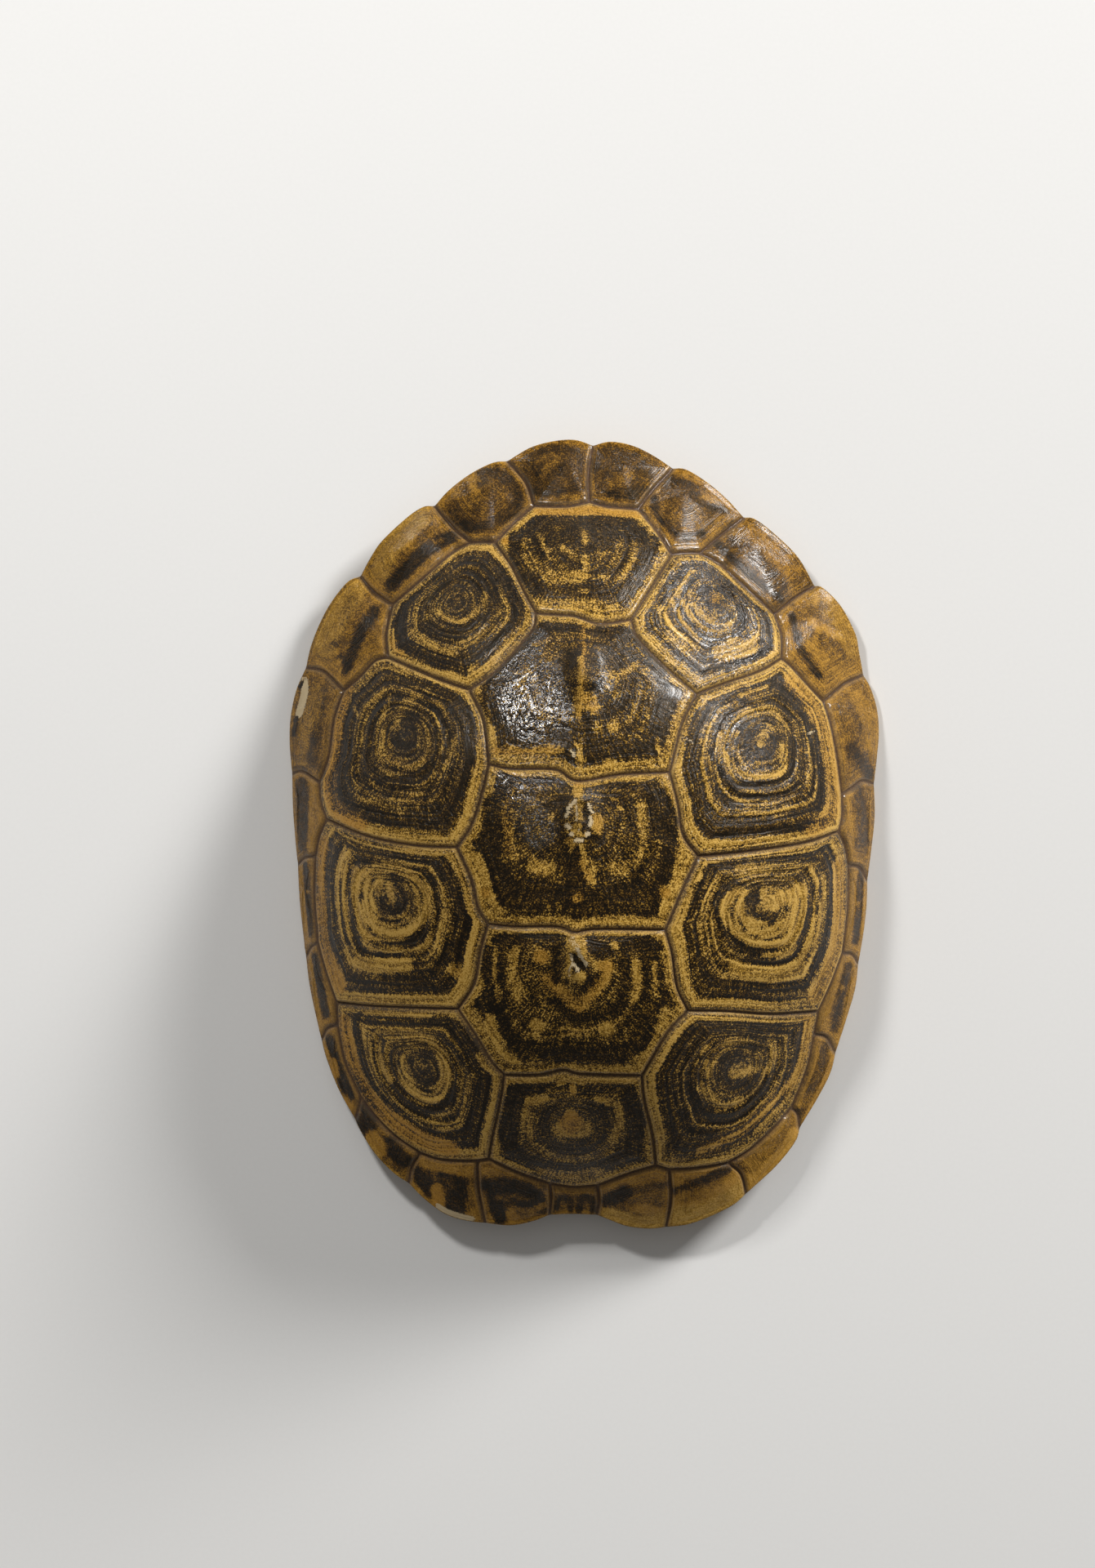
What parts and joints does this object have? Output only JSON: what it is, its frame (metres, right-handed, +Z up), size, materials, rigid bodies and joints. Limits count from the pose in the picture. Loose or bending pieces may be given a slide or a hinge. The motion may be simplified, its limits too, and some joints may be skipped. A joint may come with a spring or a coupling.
{
  "type": "turtle shell",
  "caption": "Upper shell of a pond turtle: a dome of bone with glossy, ring-marked horn scutes, a knobbed keel, a scalloped rim and an open, ribbed underside.",
  "frame": {"origin": "middle of the shell's box, on the surface that it rests on", "axes": "+Y towards the tail, +Z up out of the dome, +X to the left side of the animal"},
  "size_m": [0.1678, 0.2246, 0.0639],
  "materials": {
    "horn": "polished"
  },
  "bodies": {
    "root": {"carapace": "horn"}
  },
  "joints": []
}
